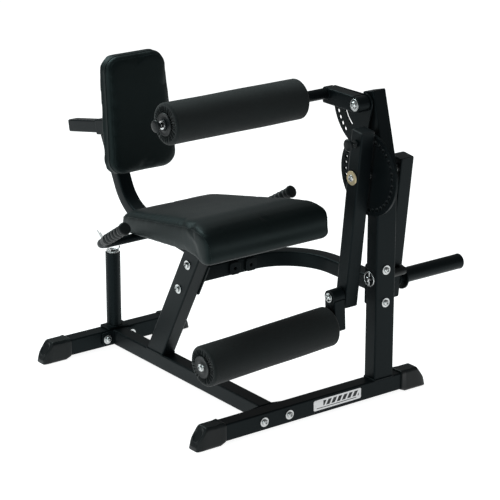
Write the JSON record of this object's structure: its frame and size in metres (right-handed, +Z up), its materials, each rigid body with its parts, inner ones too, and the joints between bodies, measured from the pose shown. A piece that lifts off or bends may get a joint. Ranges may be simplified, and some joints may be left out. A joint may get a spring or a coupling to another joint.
{
  "type": "leg extension and curl machine",
  "caption": "Seated leg extension and leg curl machine with plate-loaded weight arm, padded rollers, thigh hold-down and adjustable backrest.",
  "frame": {"origin": "on the floor, under the middle of the machine's outer box", "axes": "+Z up, -Y the way the user faces, +X the user's left, the side with the upright and the weight peg"},
  "size_m": [1.1148, 1.2088, 1.0191],
  "materials": {
    "powder_coat": "satin black powder coat",
    "vinyl": "black upholstery vinyl, soft sheen",
    "roller_cover": "matte black cover over foam",
    "rubber": "matte black",
    "zinc": "bright zinc plate",
    "brass_washer": "pale brass",
    "plastic": "black moulded plastic"
  },
  "bodies": {
    "frame": {"front_beam": "powder_coat", "rear_beam": "powder_coat", "main_beam": "powder_coat", "foot_front_right": "rubber", "foot_front_left": "rubber", "foot_rear_right": "rubber", "foot_rear_left": "rubber", "bolt_front_right": "zinc", "bolt_front_left": "zinc", "bolt_rear_right": "zinc", "bolt_rear_left": "zinc", "storage_post": "powder_coat", "spring_clip": "zinc", "seat_post": "powder_coat", "bolt_post_lower": "zinc", "bolt_post_upper": "zinc", "curved_brace": "powder_coat", "brace_tab_inner": "powder_coat", "brace_tab_outer": "powder_coat", "upright": "powder_coat", "bolt_upright_lower": "zinc", "bolt_upright_upper": "zinc", "upper_post": "powder_coat", "pivot_barrel": "powder_coat", "quadrant_plate": "powder_coat", "hold_down_boss": "powder_coat", "hold_down_bolt": "zinc", "stop_rod": "zinc", "stop_rubber": "rubber", "linch_pin": "zinc", "seat_pad": "vinyl", "seat_plate": "powder_coat", "handlebar": "powder_coat", "grip_right": "rubber", "grip_left": "rubber", "back_support": "powder_coat", "back_sleeve": "powder_coat"},
    "backrest": {"back_tube": "powder_coat", "back_plate": "powder_coat", "back_pad": "vinyl"},
    "back_lock": {"back_pin": "plastic"},
    "weight_arm": {"weight_arm": "powder_coat", "pivot_shaft": "zinc", "pivot_bolt": "brass_washer", "locking_disc": "powder_coat", "weight_peg": "powder_coat"},
    "leg_lever": {"leg_lever": "powder_coat", "lever_pin_housing": "zinc", "link_pin": "zinc"},
    "lever_lock": {"lever_pin": "plastic"},
    "roller_link": {"roller_link": "powder_coat", "roller_shaft": "zinc"},
    "leg_roller": {"lower_roller": "roller_cover", "lower_hub": "plastic"},
    "hold_down": {"hold_down_arm": "powder_coat", "hold_down_shaft": "powder_coat"},
    "thigh_roller": {"upper_roller": "roller_cover", "upper_hub": "plastic"},
    "hold_down_lock": {"hold_down_pin": "plastic"}
  },
  "joints": [
    {"name": "backrest_slide", "type": "slide", "parent": "frame", "child": "backrest", "axis": [0, -0.981, 0.1942], "range_m": [-0.05, 0.1]},
    {"name": "back_pin_slide", "type": "slide", "parent": "frame", "child": "back_lock", "axis": [-1, 0, 0], "range_m": [0, 0.0075]},
    {"name": "weight_arm_swing", "type": "hinge", "parent": "frame", "child": "weight_arm", "pos_m": [0.14537, -0.47544, 0.731], "axis": [1, 0, 0], "range_deg": [0, 90]},
    {"name": "leg_lever_swing", "type": "hinge", "parent": "frame", "child": "leg_lever", "pos_m": [0.09837, -0.47544, 0.731], "axis": [1, 0, 0], "range_deg": [-100, 20]},
    {"name": "lever_pin_slide", "type": "slide", "parent": "leg_lever", "child": "lever_lock", "axis": [1, 0, 0], "range_m": [0, 0.009]},
    {"name": "roller_link_swing", "type": "hinge", "parent": "leg_lever", "child": "roller_link", "pos_m": [0.04987, -0.42962, 0.34672], "axis": [1, 0, 0], "range_deg": [-60, 60]},
    {"name": "leg_roller_spin", "type": "hinge", "parent": "roller_link", "child": "leg_roller", "pos_m": [-0.2111, -0.42962, 0.24432], "axis": [0.9989, 0, 0.0471], "continuous": true},
    {"name": "hold_down_swing", "type": "hinge", "parent": "frame", "child": "hold_down", "pos_m": [0.14537, -0.41744, 0.935], "axis": [1, 0, 0], "range_deg": [-50, 0]},
    {"name": "thigh_roller_spin", "type": "hinge", "parent": "hold_down", "child": "thigh_roller", "pos_m": [-0.22563, -0.28067, 0.94289], "axis": [1, 0, 0], "continuous": true},
    {"name": "hold_down_pin_slide", "type": "slide", "parent": "hold_down", "child": "hold_down_lock", "axis": [1, 0, 0], "range_m": [0, 0.006]}
  ]
}
